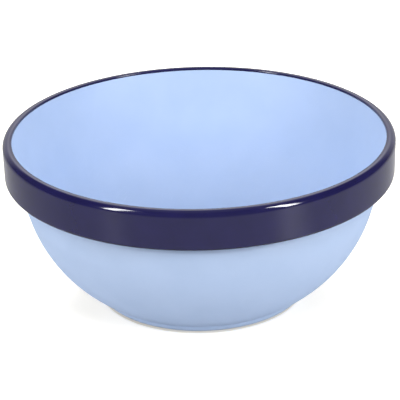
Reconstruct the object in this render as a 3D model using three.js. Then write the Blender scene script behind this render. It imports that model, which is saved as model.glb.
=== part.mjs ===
// Serving bowl with a collar rim: a light-blue shell whose lip carries a navy band.
// Both pieces are revolved about +Z. Millimetres, origin at the centre of the foot's underside.
import * as THREE from 'three';

// Rim and band
const RIM_DIAMETER = 200;
const HEIGHT = 87;
const BAND_HEIGHT = 20.4;
const BAND_DRAFT_DEG = 0.6;
const BAND_TOP_FILLET = 3.2;
const BAND_BOTTOM_FILLET = 2;
const LIP_WIDTH = 4;
const LIP_EDGE_FILLET = 0.3;
const LIP_DEPTH = 0.9;
const LEDGE_WIDTH = 0.5;
const LEDGE_FILLET = 0.4;

// Wall and floor of the shell
const WALL = 4.3;
const WALL_LEAN_DEG = 16;
const BEND_BELOW_BAND = 19.3;
const FLOOR_THICKNESS = 4;

// Foot ring under the floor
const FOOT_DIAMETER = 112.8;
const FOOT_HEIGHT = 4.4;
const FOOT_LEAN_DEG = 15;
const FOOT_FILLET = 2.4;
const FOOT_ROOT_FILLET = 1;
const FOOT_RING_WIDTH = 8.5;
const RECESS_DEPTH = 3.2;
const RECESS_DRAFT_DEG = 8;
const RECESS_FILLET = 1.6;
const RECESS_MOUTH_FILLET = 0.8;
const GATE_DIAMETER = 7;
const GATE_DEPTH = 0.5;

// Joint between lip and band: a tongue with a locking bead, which the band is moulded round
const TONGUE_THICKNESS = 1.6;
const TONGUE_CHAMFER = 0.8;
const BEAD_RADIUS = 0.7;
const JOINT_GAP = 0.3;

// Facets
const SEGMENTS = 72;
const WALL_STEPS = 12;
const FILLET_STEPS = 4;
const BEAD_STEPS = 6;

const { degToRad, lerp } = THREE.MathUtils;

// A corner of an outline in the (radius, height) plane, with the fillet that rounds it
function corner(radius, height, fillet = 0) {
  return { at: new THREE.Vector2(radius, height), fillet };
}

// Unrounded corners along an arc, with both of its ends
function arc(centre, radius, startAngle, endAngle, steps) {
  const corners = [];
  for (let step = 0; step <= steps; step += 1) {
    const angle = lerp(startAngle, endAngle, step / steps);
    corners.push(corner(centre.x + radius * Math.cos(angle), centre.y + radius * Math.sin(angle)));
  }
  return corners;
}

// The points of one corner, rounded by an arc that touches both of its sides
function roundedCorner(before, { at, fillet }, after) {
  if (fillet === 0) return [at];
  const toBefore = before.at.clone().sub(at).normalize();
  const toAfter = after.at.clone().sub(at).normalize();
  const halfAngle = Math.acos(toBefore.dot(toAfter)) / 2;
  const bisector = toBefore.clone().add(toAfter).normalize();
  const centre = at.clone().addScaledVector(bisector, fillet / Math.sin(halfAngle));
  const touchLength = fillet / Math.tan(halfAngle);
  const start = at.clone().addScaledVector(toBefore, touchLength).sub(centre);
  const end = at.clone().addScaledVector(toAfter, touchLength).sub(centre);
  const turn = Math.atan2(start.cross(end), start.dot(end));
  const points = [];
  for (let step = 0; step <= FILLET_STEPS; step += 1) {
    const spoke = start.clone().rotateAround(new THREE.Vector2(), (turn * step) / FILLET_STEPS);
    points.push(spoke.add(centre));
  }
  return points;
}

// All points of an outline. A closed one comes back to its first point.
function outline(corners, closed) {
  const count = corners.length;
  const points = corners.flatMap((item, index) =>
    roundedCorner(corners[(index + count - 1) % count], item, corners[(index + 1) % count]));
  return closed ? [...points, points[0].clone()] : points;
}

// A solid of revolution about +Z, from an outline that runs up its outside
function revolve(name, points, material) {
  const geometry = new THREE.LatheGeometry(points, SEGMENTS).rotateX(Math.PI / 2);
  const mesh = new THREE.Mesh(geometry, material);
  mesh.name = name;
  return mesh;
}

// Lines shared by shell and band. The shell's inner face is a cone that leaves a narrow ledge inside the
// rim's inner edge. The outer wall, the tongue and the band's inside are cones parallel to it.
const rimRadius = RIM_DIAMETER / 2;
const bandBottom = HEIGHT - BAND_HEIGHT;
const lean = degToRad(WALL_LEAN_DEG);
const wallNormal = new THREE.Vector2(Math.cos(lean), -Math.sin(lean));
const lipEdge = rimRadius - LIP_WIDTH;
const coneRadius = (height, offset) =>
  lipEdge - (HEIGHT - height) * Math.tan(lean) + (offset - LEDGE_WIDTH) / Math.cos(lean);

const tongueTop = HEIGHT - LIP_DEPTH - JOINT_GAP;
const shoulder = bandBottom - JOINT_GAP;
const beadHeight = (shoulder + tongueTop) / 2;
const beadCentre = new THREE.Vector2(coneRadius(beadHeight, TONGUE_THICKNESS), beadHeight);

// The bead on the tongue, or the groove that takes it where the face stands off by a gap. It runs up
// the face that it interrupts.
function lockingBead(gap) {
  const radius = BEAD_RADIUS + gap;
  const half = Math.acos(gap / radius);
  return arc(beadCentre, radius, -lean - half, -lean + half, BEAD_STEPS);
}

// The top edge of the tongue, or of the band's inside that covers it, going up
function chamferedTop(height, offset) {
  return [
    corner(coneRadius(height - TONGUE_CHAMFER, offset), height - TONGUE_CHAMFER),
    corner(coneRadius(height, offset) - TONGUE_CHAMFER, height),
  ];
}

function bowlShell() {
  // Outer wall: an arc from the foot's root that runs into the leaning cone at the bend
  const bendHeight = bandBottom - BEND_BELOW_BAND;
  const bend = new THREE.Vector2(coneRadius(bendHeight, WALL), bendHeight);
  const footRoot = new THREE.Vector2(FOOT_DIAMETER / 2, FOOT_HEIGHT);
  const chord = bend.clone().sub(footRoot);
  const outerRadius = chord.lengthSq() / (2 * chord.dot(wallNormal));
  const outerCentre = bend.clone().addScaledVector(wallNormal, -outerRadius);
  const rootAngle = footRoot.clone().sub(outerCentre).angle() - 2 * Math.PI;
  const outerArc = arc(outerCentre, outerRadius, rootAngle, -lean, WALL_STEPS);
  outerArc[0].fillet = FOOT_ROOT_FILLET;

  // Inner wall: an arc that touches the cone, square across the wall from the bend, and the flat floor
  const floor = RECESS_DEPTH + FLOOR_THICKNESS;
  const innerBend = bend.clone().addScaledVector(wallNormal, -WALL);
  const innerRadius = (innerBend.y - floor) / (1 - Math.sin(lean));
  const innerCentre = innerBend.clone().addScaledVector(wallNormal, -innerRadius);
  const innerArc = arc(innerCentre, innerRadius, -lean, -Math.PI / 2, WALL_STEPS);

  // Foot ring: a leaning side, a flat underside and a shallow recess with the moulding's gate mark
  const footEdge = footRoot.x - FOOT_HEIGHT * Math.tan(degToRad(FOOT_LEAN_DEG));
  const recessMouth = footEdge - FOOT_RING_WIDTH;
  const recessEdge = recessMouth - RECESS_DEPTH * Math.tan(degToRad(RECESS_DRAFT_DEG));
  const gateRadius = GATE_DIAMETER / 2;
  const foot = [
    corner(0, RECESS_DEPTH + GATE_DEPTH),
    corner(gateRadius - GATE_DEPTH, RECESS_DEPTH + GATE_DEPTH),
    corner(gateRadius, RECESS_DEPTH),
    corner(recessEdge, RECESS_DEPTH, RECESS_FILLET),
    corner(recessMouth, 0, RECESS_MOUTH_FILLET),
    corner(footEdge, 0, FOOT_FILLET),
  ];

  // Lip: a shoulder under the band, the tongue with its bead, and the ledge that shows inside the band
  const lip = [
    corner(coneRadius(shoulder, WALL), shoulder),
    corner(coneRadius(shoulder, TONGUE_THICKNESS), shoulder),
    ...lockingBead(0),
    ...chamferedTop(tongueTop, TONGUE_THICKNESS),
    corner(coneRadius(tongueTop, 0), tongueTop, LEDGE_FILLET),
  ];

  const satinBlue = new THREE.MeshStandardMaterial({ color: 0xa9c2ee, roughness: 0.42, metalness: 0 });
  const profile = outline([...foot, ...outerArc, ...lip, ...innerArc, corner(0, floor)], false);
  return revolve('bowl_shell', profile, satinBlue);
}

function rimBand() {
  const topFillet = Math.min(BAND_TOP_FILLET, LIP_WIDTH - LIP_EDGE_FILLET);
  const draft = Math.tan(degToRad(BAND_DRAFT_DEG));
  const sideRadius = (height) => rimRadius - (HEIGHT - topFillet - height) * draft;
  const inside = TONGUE_THICKNESS + JOINT_GAP;
  const seat = tongueTop + JOINT_GAP;

  // From the underside up the drafted outer side, over the top, and down the face round the tongue
  const corners = [
    corner(coneRadius(bandBottom, inside), bandBottom),
    corner(sideRadius(bandBottom), bandBottom, BAND_BOTTOM_FILLET),
    corner(sideRadius(HEIGHT), HEIGHT, topFillet),
    corner(lipEdge, HEIGHT, LIP_EDGE_FILLET),
    corner(coneRadius(seat, LEDGE_WIDTH), seat),
    ...chamferedTop(seat, inside).reverse(),
    ...lockingBead(JOINT_GAP).reverse(),
  ];

  const navyGloss = new THREE.MeshStandardMaterial({ color: 0x211f4a, roughness: 0.14, metalness: 0 });
  return revolve('rim_band', outline(corners, true), navyGloss);
}

const bowl = new THREE.Group();
bowl.name = 'bowl';
bowl.add(bowlShell(), rimBand());

export default bowl;
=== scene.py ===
import math

import bpy
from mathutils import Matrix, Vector


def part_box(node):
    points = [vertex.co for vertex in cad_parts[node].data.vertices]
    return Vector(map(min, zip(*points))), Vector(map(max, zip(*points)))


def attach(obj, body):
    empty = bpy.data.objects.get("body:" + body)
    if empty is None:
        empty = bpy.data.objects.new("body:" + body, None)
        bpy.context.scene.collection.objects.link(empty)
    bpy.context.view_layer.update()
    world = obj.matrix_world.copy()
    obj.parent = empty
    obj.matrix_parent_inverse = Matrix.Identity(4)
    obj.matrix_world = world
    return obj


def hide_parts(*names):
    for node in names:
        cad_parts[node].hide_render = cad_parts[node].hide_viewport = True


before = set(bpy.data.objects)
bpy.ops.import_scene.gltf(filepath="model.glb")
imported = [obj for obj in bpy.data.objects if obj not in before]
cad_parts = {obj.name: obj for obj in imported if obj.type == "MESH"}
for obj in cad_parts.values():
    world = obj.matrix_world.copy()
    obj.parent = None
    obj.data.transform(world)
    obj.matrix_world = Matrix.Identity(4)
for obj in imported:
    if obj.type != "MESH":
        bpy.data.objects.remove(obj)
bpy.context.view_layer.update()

# LIGHT-BLUE SHELL
# The body of the bowl: foot ring, round wall and flat floor, injection moulded in one piece from satin
# light-blue plastic. Its lip ends in a tongue with a locking bead, which the navy band is moulded over.
MM = 0.001
band_low, band_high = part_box("rim_band")
rim_radius = band_high.x
rim_height = band_high.z
band_bottom = band_low.z

# Wall and lip. The inner wall's cone, carried up to the rim, lies inside the rim's edge by the inset.
wall_inset = 4.52 * MM
wall_thickness = 4.3 * MM
wall_lean = math.radians(16)
bend_below_band = 19.3 * MM
floor_top = 7.2 * MM
lip_depth = 1.3 * MM
inner_lip_fillet = 0.2 * MM

# Foot ring, the shallow recess inside it, and the mark of the mould's gate in the middle
wall_start = Vector((56.4 * MM, 4.4 * MM))
foot_radius = 54.9 * MM
foot_lean = math.radians(15)
foot_fillet = 2.4 * MM
foot_root_fillet = 1 * MM
foot_ring_width = 8.5 * MM
recess_depth = 3.2 * MM
recess_draft = math.radians(8)
recess_fillet = 1.6 * MM
recess_mouth_fillet = 0.8 * MM
gate_radius = 3.5 * MM
gate_depth = 0.5 * MM
gate_fillet = 0.2 * MM

# Tongue and bead, which the band hides
tongue_thickness = 1.6 * MM
tongue_chamfer = 0.8 * MM
bead_radius = 0.7 * MM
seam_gap = 0.06 * MM

# Sides of the circle that carries each outline round
sides_round = 256


def corner(radius, height, fillet=0.0, wear=0.0):
    """A corner of an outline: its place, the fillet that eases it and how worn the skin is there."""
    return {"at": Vector((radius, height)), "fillet": fillet, "wear": wear}


def arc_corners(centre, radius, start, end, steps, wear=0.0):
    angles = [start + (end - start) * step / steps for step in range(steps + 1)]
    return [corner(centre.x + radius * math.cos(angle), centre.y + radius * math.sin(angle), 0.0, wear)
            for angle in angles]


def fillet_reach(before, item, after):
    """How far from a corner its fillet begins."""
    if item["fillet"] == 0:
        return 0.0
    half_angle = (before["at"] - item["at"]).angle(after["at"] - item["at"]) / 2
    return item["fillet"] / math.tan(half_angle)


def held_point(item, reach, neighbour, neighbour_reach):
    """A point just past a fillet's end, which keeps the flat beside it flat, if the flat has room for it."""
    hold = 0.25 * MM
    side = neighbour["at"] - item["at"]
    if item["fillet"] == 0 or side.length <= reach + neighbour_reach + 2 * hold:
        return []
    place = item["at"] + side.normalized() * (reach + hold)
    return [corner(place.x, place.y, 0.0, item["wear"])]


def held_corners(corners):
    befores = corners[-1:] + corners[:-1]
    afters = corners[1:] + corners[:1]
    reaches = [fillet_reach(*three) for three in zip(befores, corners, afters)]
    held = []
    for index, item in enumerate(corners):
        following = (index + 1) % len(corners)
        held += held_point(item, reaches[index], corners[index - 1], reaches[index - 1])
        held.append(item)
        held += held_point(item, reaches[index], corners[following], reaches[following])
    return held


def outline_object(name, corners, closed):
    points = held_corners(corners)
    count = len(points)
    edges = [(index, (index + 1) % count) for index in range(count if closed else count - 1)]
    mesh = bpy.data.meshes.new(name)
    mesh.from_pydata([(point["at"].x, point["at"].y, 0.0) for point in points], edges, [])
    for key in ("fillet", "wear"):
        values = mesh.attributes.new(key, "FLOAT", "POINT").data
        values.foreach_set("value", [point[key] for point in points])
    piece = bpy.data.objects.new(name, mesh)
    bpy.context.scene.collection.objects.link(piece)
    return piece


def chain(tree, *stages):
    """Joins nodes in a row, each one's first output to the next one's first input."""
    for before, after in zip(stages, stages[1:]):
        tree.links.new(before.outputs[0], after.inputs[0])


turning = bpy.data.node_groups.new("turned_about_the_axis", "GeometryNodeTree")
turning.interface.new_socket("Outline", in_out="INPUT", socket_type="NodeSocketGeometry")
path_radius_in = turning.interface.new_socket("Path radius", in_out="INPUT", socket_type="NodeSocketFloat")
sides_in = turning.interface.new_socket("Sides", in_out="INPUT", socket_type="NodeSocketInt")
fillet_steps_in = turning.interface.new_socket("Fillet steps", in_out="INPUT", socket_type="NodeSocketInt")
finish_in = turning.interface.new_socket("Finish", in_out="INPUT", socket_type="NodeSocketMaterial")
turning.interface.new_socket("Turned piece", in_out="OUTPUT", socket_type="NodeSocketGeometry")

# The outline, eased at its corners and moved back by the radius of the path that carries it
sizes = turning.nodes.new("NodeGroupInput")
as_curve = turning.nodes.new("GeometryNodeMeshToCurve")
fillet_size = turning.nodes.new("GeometryNodeInputNamedAttribute")
fillet_size.inputs["Name"].default_value = "fillet"
eased = turning.nodes.new("GeometryNodeFilletCurve")
eased.mode = "POLY"
turning.links.new(sizes.outputs["Fillet steps"], eased.inputs["Count"])
turning.links.new(fillet_size.outputs["Attribute"], eased.inputs["Radius"])
back_to_axis = turning.nodes.new("ShaderNodeMath")
back_to_axis.operation = "MULTIPLY"
back_to_axis.inputs[1].default_value = -1
turning.links.new(sizes.outputs["Path radius"], back_to_axis.inputs[0])
inward = turning.nodes.new("ShaderNodeCombineXYZ")
turning.links.new(back_to_axis.outputs[0], inward.inputs["X"])
on_path = turning.nodes.new("GeometryNodeTransform")
on_path.inputs["Scale"].default_value = (1, -1, 1)
turning.links.new(inward.outputs[0], on_path.inputs["Translation"])
chain(turning, sizes, as_curve, eased, on_path)

# The circle that carries it round, and the skin that this leaves, closed at the axis
path = turning.nodes.new("GeometryNodeCurvePrimitiveCircle")
turning.links.new(sizes.outputs["Sides"], path.inputs["Resolution"])
turning.links.new(sizes.outputs["Path radius"], path.inputs["Radius"])
upright = turning.nodes.new("GeometryNodeSetCurveNormal")
upright.mode = "Z_UP"
swept = turning.nodes.new("GeometryNodeCurveToMesh")
chain(turning, path, upright, swept)
turning.links.new(on_path.outputs[0], swept.inputs["Profile Curve"])
poles = turning.nodes.new("GeometryNodeMergeByDistance")
poles.inputs["Distance"].default_value = 0.005 * MM
outward = turning.nodes.new("GeometryNodeFlipFaces")
smooth = turning.nodes.new("GeometryNodeSetShadeSmooth")
real = turning.nodes.new("GeometryNodeRealizeInstances")
finished = turning.nodes.new("GeometryNodeSetMaterial")
turning.links.new(sizes.outputs["Finish"], finished.inputs["Material"])
chain(turning, swept, poles, outward, smooth, real, finished, turning.nodes.new("NodeGroupOutput"))


def turned_piece(name, corners, closed, fillet_steps, finish):
    """A piece of revolution about the bowl's axis, as a plain mesh at the origin."""
    piece = outline_object(name, corners, closed)
    modifier = piece.modifiers.new("turned", "NODES")
    modifier.node_group = turning
    modifier[path_radius_in.identifier] = rim_radius
    modifier[sides_in.identifier] = sides_round
    modifier[fillet_steps_in.identifier] = fillet_steps
    modifier[finish_in.identifier] = finish
    depsgraph = bpy.context.evaluated_depsgraph_get()
    mesh = bpy.data.meshes.new_from_object(
        piece.evaluated_get(depsgraph), preserve_all_data_layers=True, depsgraph=depsgraph)
    piece.modifiers.remove(modifier)
    outline = piece.data
    piece.data = mesh
    bpy.data.meshes.remove(outline)
    mesh.name = name
    return piece


def cone_radius(height, offset):
    """The radius, at a height, of the inner wall's cone or of one that stands outward from it."""
    inner_wall_radius = rim_radius - wall_inset - (rim_height - height) * math.tan(wall_lean)
    return inner_wall_radius + offset / math.cos(wall_lean)


tongue_top = rim_height - lip_depth - seam_gap
shoulder = band_bottom - seam_gap
bead_height = (shoulder + tongue_top) / 2
bead_centre = Vector((cone_radius(bead_height, tongue_thickness), bead_height))


def locking_bead(gap):
    """The bead on the tongue, or the groove round it in a face that stands off by a gap, going up."""
    radius = bead_radius + gap
    half = math.acos(gap / radius)
    return arc_corners(bead_centre, radius, -wall_lean - half, -wall_lean + half, steps=8)


def chamfered_top(height, offset):
    """The top edge of the tongue, or of the band's face that covers it, going up."""
    return [
        corner(cone_radius(height - tongue_chamfer, offset), height - tongue_chamfer),
        corner(cone_radius(height, offset) - tongue_chamfer, height),
    ]


# Outer wall: an arc that goes into the cone at the bend. It passes the solids' wall start and runs on down
# to the foot, which is narrower than theirs. Inner wall: an arc from the cone to the flat floor.
wall_normal = Vector((math.cos(wall_lean), -math.sin(wall_lean)))
bend_height = band_bottom - bend_below_band
bend = Vector((cone_radius(bend_height, wall_thickness), bend_height))
chord = bend - wall_start
outer_radius = chord.length_squared / (2 * chord.dot(wall_normal))
outer_centre = bend - wall_normal * outer_radius
root_angle = -math.acos((foot_radius - outer_centre.x) / outer_radius)
foot_height = outer_centre.y + outer_radius * math.sin(root_angle)
outer_wall = arc_corners(outer_centre, outer_radius, root_angle, -wall_lean, steps=36, wear=0.15)
outer_wall[0]["fillet"] = foot_root_fillet
inner_bend = bend - wall_normal * wall_thickness
inner_radius = (inner_bend.y - floor_top) / (1 - math.sin(wall_lean))
inner_centre = inner_bend - wall_normal * inner_radius
inner_wall = arc_corners(inner_centre, inner_radius, -wall_lean, -math.pi / 2, steps=40, wear=0.6)
inner_wall[0]["wear"] = 0.2

foot_edge = foot_radius - foot_height * math.tan(foot_lean)
recess_mouth = foot_edge - foot_ring_width
recess_edge = recess_mouth - recess_depth * math.tan(recess_draft)
shell_outline = [
    corner(0, recess_depth + gate_depth),
    corner(gate_radius - gate_depth, recess_depth + gate_depth, gate_fillet),
    corner(gate_radius, recess_depth, gate_fillet),
    corner(recess_edge, recess_depth, recess_fillet),
    corner(recess_mouth, 0, recess_mouth_fillet, wear=1),
    corner(foot_edge, 0, foot_fillet, wear=1),
    *outer_wall,
    corner(cone_radius(shoulder, wall_thickness), shoulder),
    corner(cone_radius(shoulder, tongue_thickness), shoulder),
    *locking_bead(0),
    *chamfered_top(tongue_top, tongue_thickness),
    corner(cone_radius(tongue_top, 0), tongue_top, inner_lip_fillet, wear=0.2),
    *inner_wall,
    corner(0, floor_top, wear=1),
]


def shader_group(name, inputs, outputs):
    group = bpy.data.node_groups.new(name, "ShaderNodeTree")
    for label, kind, value in inputs:
        socket = group.interface.new_socket(label, in_out="INPUT", socket_type=kind)
        if value is not None:
            socket.default_value = value
    for label in outputs:
        group.interface.new_socket(label, in_out="OUTPUT", socket_type="NodeSocketFloat")
    return group, group.nodes.new("NodeGroupInput"), group.nodes.new("NodeGroupOutput")


def feed(tree, socket, value):
    """Links a socket to another node's output, or sets it to a constant."""
    if isinstance(value, bpy.types.NodeSocket):
        tree.links.new(value, socket)
    else:
        socket.default_value = value


def math_node(tree, operation, first, second=0.0):
    node = tree.nodes.new("ShaderNodeMath")
    node.operation = operation
    feed(tree, node.inputs[0], first)
    feed(tree, node.inputs[1], second)
    return node.outputs[0]


def remap(tree, value, from_low, from_high, to_low, to_high):
    """Takes one range of values to another, and holds what lies outside at its ends."""
    node = tree.nodes.new("ShaderNodeMapRange")
    tree.links.new(value, node.inputs["Value"])
    node.inputs["From Min"].default_value = from_low
    node.inputs["From Max"].default_value = from_high
    node.inputs["To Min"].default_value = to_low
    node.inputs["To Max"].default_value = to_high
    return node.outputs["Result"]


def noise(tree, vector, scale, detail):
    node = tree.nodes.new("ShaderNodeTexNoise")
    tree.links.new(vector, node.inputs["Vector"])
    feed(tree, node.inputs["Scale"], scale)
    node.inputs["Detail"].default_value = detail
    return node.outputs["Fac"]


# Skin of moulded plastic: slow changes of tone from the flow of the melt, and the fine grain of the mould
moulded_skin, skin_in, skin_out = shader_group(
    "moulded_skin",
    [("Vector", "NodeSocketVector", None), ("Flow size", "NodeSocketFloat", 0.02),
     ("Grain size", "NodeSocketFloat", 0.0006)],
    ["Flow", "Grain"])
flow_scale = math_node(moulded_skin, "DIVIDE", 1, skin_in.outputs["Flow size"])
grain_scale = math_node(moulded_skin, "DIVIDE", 1, skin_in.outputs["Grain size"])
flow = noise(moulded_skin, skin_in.outputs["Vector"], flow_scale, detail=3)
grain = noise(moulded_skin, skin_in.outputs["Vector"], grain_scale, detail=1)
moulded_skin.links.new(remap(moulded_skin, flow, 0.3, 0.7, 0, 1), skin_out.inputs["Flow"])
moulded_skin.links.new(grain, skin_out.inputs["Grain"])

# Marks of handling: thin hairlines in two directions, and patches of haze
handling_marks, marks_in, marks_out = shader_group(
    "handling_marks",
    [("Vector", "NodeSocketVector", None), ("Line length", "NodeSocketFloat", 0.03),
     ("Line width", "NodeSocketFloat", 0.0004)],
    ["Hairlines", "Haze"])
along = math_node(handling_marks, "DIVIDE", 1, marks_in.outputs["Line length"])
across = math_node(handling_marks, "DIVIDE", 1, marks_in.outputs["Line width"])
stretch = handling_marks.nodes.new("ShaderNodeCombineXYZ")
for axis, share in (("X", along), ("Y", across), ("Z", across)):
    handling_marks.links.new(share, stretch.inputs[axis])
hairlines = []
for turn in ((0.3, 0.2, 0.5), (-0.4, 0.1, 2.1)):
    turned = handling_marks.nodes.new("ShaderNodeMapping")
    turned.inputs["Rotation"].default_value = turn
    handling_marks.links.new(marks_in.outputs["Vector"], turned.inputs["Vector"])
    drawn_out = handling_marks.nodes.new("ShaderNodeVectorMath")
    drawn_out.operation = "MULTIPLY"
    handling_marks.links.new(turned.outputs[0], drawn_out.inputs[0])
    handling_marks.links.new(stretch.outputs[0], drawn_out.inputs[1])
    streaks = noise(handling_marks, drawn_out.outputs[0], scale=1, detail=0)
    hairlines.append(remap(handling_marks, streaks, 0.74, 0.8, 0, 1))
haze_scale = math_node(handling_marks, "MULTIPLY", along, 1.3)
haze = noise(handling_marks, marks_in.outputs["Vector"], haze_scale, detail=4)
handling_marks.links.new(math_node(handling_marks, "MAXIMUM", *hairlines), marks_out.inputs["Hairlines"])
handling_marks.links.new(remap(handling_marks, haze, 0.45, 0.75, 0, 1), marks_out.inputs["Haze"])


def new_finish(name):
    """A material with a Principled shader, and object coordinates for its patterns."""
    material = bpy.data.materials.new(name)
    material.use_nodes = True
    tree = material.node_tree
    place = tree.nodes.new("ShaderNodeTexCoord").outputs["Object"]
    return material, tree, tree.nodes["Principled BSDF"], place


def placed_group(tree, group, vector, **values):
    node = tree.nodes.new("ShaderNodeGroup")
    node.node_tree = group
    tree.links.new(vector, node.inputs["Vector"])
    for label, value in values.items():
        node.inputs[label.replace("_", " ")].default_value = value
    return node.outputs


def where_worn(tree, marks):
    """The marks, as far as the wear that the outline gives lets them show."""
    wear = tree.nodes.new("ShaderNodeAttribute")
    wear.attribute_name = "wear"
    return math_node(tree, "MULTIPLY", marks, wear.outputs["Fac"])


def blended_colour(tree, factor, first, second):
    node = tree.nodes.new("ShaderNodeMix")
    node.data_type = "RGBA"
    tree.links.new(factor, node.inputs["Factor"])
    feed(tree, node.inputs["A"], first)
    feed(tree, node.inputs["B"], second)
    return node.outputs["Result"]


def bump(tree, height, distance):
    node = tree.nodes.new("ShaderNodeBump")
    node.inputs["Strength"].default_value = 1
    node.inputs["Distance"].default_value = distance
    tree.links.new(height, node.inputs["Height"])
    return node.outputs["Normal"]


deep_blue = (0.387, 0.497, 0.704, 1)
pale_blue = (0.407, 0.517, 0.724, 1)
rubbed_blue = (0.62, 0.72, 0.9, 1)
grain_relief = 0.01 * MM
satin_blue, tree, skin, place = new_finish("satin_blue_plastic")
flow, grain = placed_group(tree, moulded_skin, place, Flow_size=0.018, Grain_size=0.0007)
lines, haze = placed_group(tree, handling_marks, place, Line_length=0.02, Line_width=0.0003)
worn_lines = where_worn(tree, lines)
line_tint = math_node(tree, "MULTIPLY", worn_lines, 0.25)
line_dullness = math_node(tree, "MULTIPLY", worn_lines, 0.15)
line_depth = math_node(tree, "MULTIPLY", worn_lines, 0.5)
tone = blended_colour(tree, flow, deep_blue, pale_blue)
hazy = remap(tree, haze, 0, 1, 0.62, 0.7)
relief = math_node(tree, "SUBTRACT", grain, line_depth)
tree.links.new(blended_colour(tree, line_tint, tone, rubbed_blue), skin.inputs["Base Color"])
tree.links.new(math_node(tree, "ADD", hazy, line_dullness), skin.inputs["Roughness"])
tree.links.new(bump(tree, relief, grain_relief), skin.inputs["Normal"])
skin.inputs["IOR"].default_value = 1.5

blue_shell = turned_piece("blue_shell", shell_outline, closed=False, fillet_steps=6, finish=satin_blue)
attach(blue_shell, "root")
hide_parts("bowl_shell")

# NAVY BAND
# The collar round the lip, of glossy navy plastic, moulded over the shell's tongue and locked by its bead.
# It stands proud of the wall below. Its top slopes in to a crisp edge, flush with the shell's inner wall.
band_draft = math.tan(math.radians(0.6))
band_top_fillet = 3.2 * MM
band_bottom_fillet = 2 * MM
crest_radius = 96.3 * MM
crest_fillet = 1.8 * MM
inner_edge_height = rim_height - 0.5 * MM
inner_edge_fillet = 0.3 * MM
inner_setback = 0.02 * MM
band_inside = tongue_thickness + seam_gap
seat = tongue_top + seam_gap


def band_side(height):
    return rim_radius - (rim_height - band_top_fillet - height) * band_draft


band_outline = [
    corner(cone_radius(band_bottom, band_inside), band_bottom),
    corner(band_side(band_bottom), band_bottom, band_bottom_fillet, wear=0.3),
    corner(band_side(rim_height), rim_height, band_top_fillet, wear=0.5),
    corner(crest_radius, rim_height, crest_fillet),
    corner(cone_radius(inner_edge_height, inner_setback), inner_edge_height, inner_edge_fillet, wear=0.6),
    corner(cone_radius(seat, inner_setback), seat),
    *reversed(chamfered_top(seat, band_inside)),
    *reversed(locking_bead(seam_gap)),
]

deep_navy = (0.0055, 0.0045, 0.045, 1)
pale_navy = (0.0075, 0.006, 0.055, 1)
gloss_navy, tree, skin, place = new_finish("gloss_navy_plastic")
flow, grain = placed_group(tree, moulded_skin, place, Flow_size=0.012, Grain_size=0.004)
lines, haze = placed_group(tree, handling_marks, place, Line_length=0.015, Line_width=0.0002)
line_dullness = math_node(tree, "MULTIPLY", where_worn(tree, lines), 0.12)
hazy = remap(tree, haze, 0, 1, 0.07, 0.13)
tree.links.new(blended_colour(tree, flow, deep_navy, pale_navy), skin.inputs["Base Color"])
tree.links.new(math_node(tree, "ADD", hazy, line_dullness), skin.inputs["Roughness"])
tree.links.new(bump(tree, grain, grain_relief), skin.inputs["Normal"])
skin.inputs["IOR"].default_value = 1.52

navy_band = turned_piece("navy_band", band_outline, closed=True, fillet_steps=10, finish=gloss_navy)
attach(navy_band, "root")
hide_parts("rim_band")

# STUDIO
# A white table under soft light from all round, two strip boxes in front that show as gloss on the band, and
# a low lamp at the right for the table alone. The camera stands as the photo's did, with its slight roll.
table_reach = 3.0
table_mesh = bpy.data.meshes.new("floor")
table_mesh.from_pydata(
    [(x * table_reach, y * table_reach, 0) for x, y in ((-1, -1), (1, -1), (1, 1), (-1, 1))],
    [], [(0, 1, 2, 3)])
light_table = bpy.data.objects.new("floor", table_mesh)
bpy.context.scene.collection.objects.link(light_table)


def blended_value(tree, factor, first, second):
    node = tree.nodes.new("ShaderNodeMix")
    tree.links.new(factor, node.inputs["Factor"])
    feed(tree, node.inputs["A"], first)
    feed(tree, node.inputs["B"], second)
    return node.outputs["Result"]


def distance_from(tree, place, point):
    node = tree.nodes.new("ShaderNodeVectorMath")
    node.operation = "DISTANCE"
    tree.links.new(place, node.inputs[0])
    node.inputs[1].default_value = point
    return node.outputs["Value"]


table_white, tree, table, place = new_finish("table_white")
across_table = tree.nodes.new("ShaderNodeSeparateXYZ")
tree.links.new(place, across_table.inputs[0])
table_x = across_table.outputs["X"]
table_y = across_table.outputs["Y"]
from_foot = distance_from(tree, place, (0, 0, 0))

# The table as the band's gloss shows it: a painted glow, with painted shade towards its edges, under the
# bowl and behind it, and a painted pool of light in a lane towards the right strip
right_strip_bearing = math.radians(44)
side_light = remap(tree, table_x, -0.3, 0.3, 0.64, 0.78)
side_edge = remap(tree, math_node(tree, "ABSOLUTE", table_x), 0.3, 0.9, 1, 0.4)
bearing = math_node(tree, "ARCTAN2", table_x, math_node(tree, "MULTIPLY", table_y, -1))
off_strip = math_node(tree, "ABSOLUTE", math_node(tree, "SUBTRACT", bearing, right_strip_bearing))
# painted light: a brighter lane on the table towards the right strip
painted_spill_from_strip = remap(tree, off_strip, 0.05, 0.2, 0.3, 0)
painted_glow_in_gloss = math_node(tree, "ADD", math_node(tree, "MULTIPLY", side_light, side_edge), painted_spill_from_strip)
front_edge = remap(tree, table_y, -0.46, -0.3, 0.42, 1)
# painted shade under the bowl
painted_shade_under_bowl = remap(tree, from_foot, 0.07, 0.16, 0.35, 1)
behind_bowl = remap(tree, table_y, -0.05, 0.1, 1, 0.8)
for shade in (front_edge, painted_shade_under_bowl, behind_bowl):
    painted_glow_in_gloss = math_node(tree, "MULTIPLY", painted_glow_in_gloss, shade)

# The table as the camera sees it: white from a glow of its own, with a painted shadow, thin, along the front
# of the foot. Its glow is warm near the bowl, a painted tint against the blue that the bowl throws on it.
shadow_middle = (-0.3 * MM, -1.8 * MM, 0)
warm_white = (1, 0.85, 0.53, 1)
from_shadow = distance_from(tree, place, shadow_middle)
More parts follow.
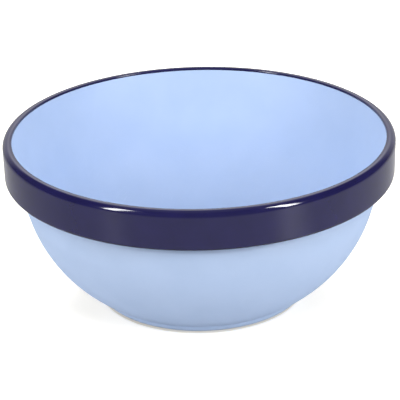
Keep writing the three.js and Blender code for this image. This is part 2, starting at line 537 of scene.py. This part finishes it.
# painted shadow: a darker ring round the foot, set a little to the front
painted_contact_shadow = remap(tree, from_shadow, foot_edge - 0.8 * MM, foot_edge + 0.2 * MM, 0.6, 1)
# painted glow: weaker near the bowl, so that shadows show there, and full far off
far_off = remap(tree, from_foot, 0.2, 0.6, 0, 1)
glow_near_bowl = 0.39
painted_floor_glow = blended_value(tree, far_off, glow_near_bowl, 1)
seen = math_node(tree, "MULTIPLY", painted_floor_glow, painted_contact_shadow)

# The table as a source of light for the bowl: grey, with painted shade right at the foot, and a weak painted
# glow, standing in for bounced light, that is strongest round the foot
# painted shade: the table darker right at the foot
painted_shade_at_foot = remap(tree, from_foot, foot_edge, foot_edge + 10 * MM, 0.8, 1)
# painted bounce light: a glow from the table, strongest round the foot
near_bowl = remap(tree, from_foot, 0.07, 0.11, 0.18, 0.07)
painted_bounce_glow = math_node(tree, "MULTIPLY", painted_shade_at_foot, near_bowl)
table_grey = 0.62
grey = math_node(tree, "MULTIPLY", painted_shade_at_foot, table_grey)

rays = tree.nodes.new("ShaderNodeLightPath").outputs
to_camera = rays["Is Camera Ray"]
to_gloss = rays["Is Glossy Ray"]
unmirrored_white = blended_value(tree, to_camera, grey, painted_contact_shadow)
unmirrored_glow = blended_value(tree, to_camera, painted_bounce_glow, seen)
# painted tint: the camera's glow on the table turns warm near the bowl, against its blue bounce
warmed = math_node(tree, "SUBTRACT", to_camera, far_off)
tint = blended_colour(tree, warmed, (1, 1, 1, 1), warm_white)
tree.links.new(blended_value(tree, to_gloss, unmirrored_white, 0), table.inputs["Base Color"])
tree.links.new(blended_value(tree, to_gloss, unmirrored_glow, painted_glow_in_gloss), table.inputs["Emission Strength"])
tree.links.new(tint, table.inputs["Emission Color"])
table.inputs["Roughness"].default_value = 0.42
table.inputs["Specular IOR Level"].default_value = 0.15
table_mesh.materials.append(table_white)

# The room is white to the camera and lights the bowl from the ceiling. The gloss shows a panel high at the
# back, the back wall, the front of the room and the ceiling, each with its own brightness.
surround = bpy.data.worlds.new("surround")
bpy.context.scene.world = surround
surround.use_nodes = True
surround.cycles.sampling_method = "NONE"
tree = surround.node_tree
directions = tree.nodes.new("ShaderNodeSeparateXYZ")
tree.links.new(tree.nodes.new("ShaderNodeTexCoord").outputs["Generated"], directions.inputs[0])
sideways = math_node(tree, "ABSOLUTE", directions.outputs["X"])
backward = directions.outputs["Y"]
upward = directions.outputs["Z"]
lighting = remap(tree, upward, 0.7, 0.95, 0, 0.56)
panel = remap(tree, sideways, 0.25, 0.45, 1, 0)
panel_front = remap(tree, backward, 0.05, 0.3, 0, 1)
panel_bottom = remap(tree, upward, 0.3, 0.65, 0, 2.2)
panel_top = remap(tree, upward, 0.8, 0.95, 1, 0)
for edge in (panel_front, panel_bottom, panel_top):
    panel = math_node(tree, "MULTIPLY", panel, edge)
back_wall = remap(tree, backward, 0.62, 0.85, 0, 0.6)
room_front = remap(tree, backward, -0.8, -0.3, 0.27, 0.15)
ceiling = remap(tree, upward, 0.85, 0.98, 0, 0.3)
mirrored = panel
for more in (back_wall, room_front, ceiling):
    mirrored = math_node(tree, "ADD", mirrored, more)
rays = tree.nodes.new("ShaderNodeLightPath").outputs
unmirrored = blended_value(tree, rays["Is Camera Ray"], lighting, 1)
background = tree.nodes["Background"]
background.inputs["Color"].default_value = (1, 1, 1, 1)
strength = blended_value(tree, rays["Is Glossy Ray"], unmirrored, mirrored)
tree.links.new(strength, background.inputs["Strength"])


def soft_box(name, place, aim, width, tall, power):
    light = bpy.data.lights.new(name, "AREA")
    light.shape = "RECTANGLE"
    light.size = width
    light.size_y = tall
    light.energy = power
    lamp = bpy.data.objects.new(name, light)
    lamp.location = place
    lamp.rotation_euler = (Vector(aim) - Vector(place)).to_track_quat("-Z", "Y").to_euler()
    bpy.context.scene.collection.objects.link(lamp)
    return lamp


# The strips show in the gloss only, and the fills light without showing in it
rim_centre = (0, 0, rim_height)
left_strip = soft_box("left_strip", (-0.754, -0.648, 0.66), rim_centre, width=0.165, tall=0.72, power=9)
right_strip = soft_box("right_strip", (0.749, -0.627, 0.68), rim_centre, width=0.165, tall=0.74, power=12)
for strip in (left_strip, right_strip):
    strip.visible_diffuse = False

bowl_middle = (0, 0, 0.05)
for name, place, width, tall, power in (
        ("front_key", (0, -0.65, 1.15), 0.25, 0.25, 6.6),
        ("back_fill", (0, 1.1, 0.9), 1.0, 0.8, 18.7),
        ("left_front", (-0.9, -0.9, 0.6), 0.5, 0.5, 7.8),
        ("right_front", (0.9, -0.9, 0.6), 0.5, 0.5, 10.6),
        ("left_fill", (-1.2, -0.2, 0.7), 0.8, 0.8, 3.6),
        ("left_low", (-1.2, -0.1, 0.25), 0.8, 0.4, 2.6),
        ("right_low", (1.2, -0.1, 0.25), 0.8, 0.4, 4.2)):
    fill = soft_box(name, place, bowl_middle, width, tall, power)
    fill.visible_glossy = False

table_only = bpy.data.collections.new("table_only")
table_only.objects.link(light_table)
table_lamp = soft_box("table_lamp", (1.1, -0.6, 0.45), (0, 0, 0), width=0.5, tall=0.3, power=2)
table_lamp.visible_glossy = False
table_lamp.light_linking.receiver_collection = table_only

camera_x = -0.00021
camera_aim = Vector((camera_x, 0, 0.04845))
photo_roll = math.radians(-1.308)
view = bpy.data.cameras.new("camera")
view.lens = 155.8
view.sensor_width = 36.0
camera = bpy.data.objects.new("camera", view)
camera.location = (camera_x, -0.8202, 0.4145)
camera.rotation_euler = (camera_aim - camera.location).to_track_quat("-Z", "Y").to_euler()
camera.rotation_euler.rotate_axis("Z", photo_roll)
bpy.context.scene.collection.objects.link(camera)
bpy.context.scene.camera = camera
bpy.context.scene.view_settings.view_transform = "Standard"
